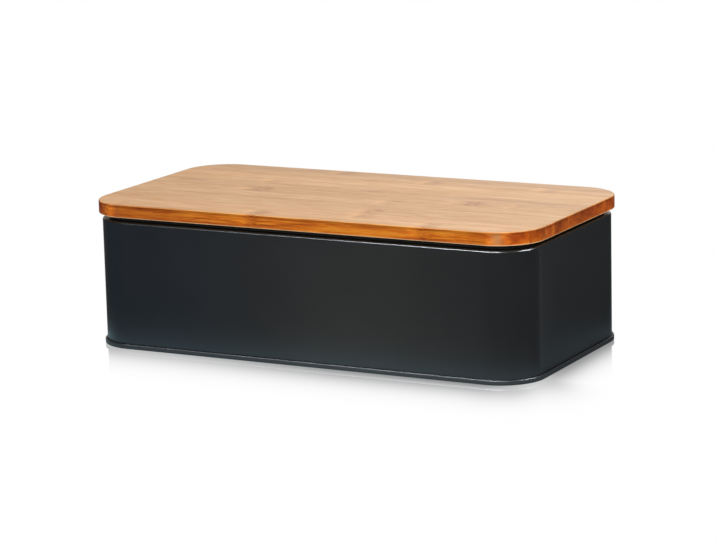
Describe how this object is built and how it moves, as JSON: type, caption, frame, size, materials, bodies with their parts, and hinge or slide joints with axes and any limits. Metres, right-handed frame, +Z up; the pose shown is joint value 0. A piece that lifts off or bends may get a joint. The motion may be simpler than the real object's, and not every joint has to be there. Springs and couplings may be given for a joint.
{
  "type": "bread box",
  "caption": "Low rounded sheet-steel bread box, charcoal, with an overhanging bamboo lid that lifts off a curled rim.",
  "frame": {"origin": "on the floor under the middle of the box", "axes": "+X along the box to its right, +Y to its back, +Z up; the long front wall faces -Y"},
  "size_m": [0.425, 0.22, 0.129],
  "materials": {
    "charcoal_paint": "satin powder coat",
    "bamboo": "planed, oiled"
  },
  "bodies": {
    "tin": {"body_shell": "charcoal_paint", "base_pan": "charcoal_paint"},
    "lid": {"lid_stave_01": "bamboo", "lid_stave_02": "bamboo", "lid_stave_03": "bamboo", "lid_stave_04": "bamboo", "lid_stave_05": "bamboo", "lid_stave_06": "bamboo", "lid_stave_07": "bamboo", "lid_stave_08": "bamboo", "lid_stave_09": "bamboo", "lid_stave_10": "bamboo", "lid_stave_11": "bamboo"}
  },
  "joints": [
    {"name": "lid_lift", "type": "slide", "parent": "tin", "child": "lid", "axis": [0, 0, 1], "range_m": [0, 0.15]}
  ]
}
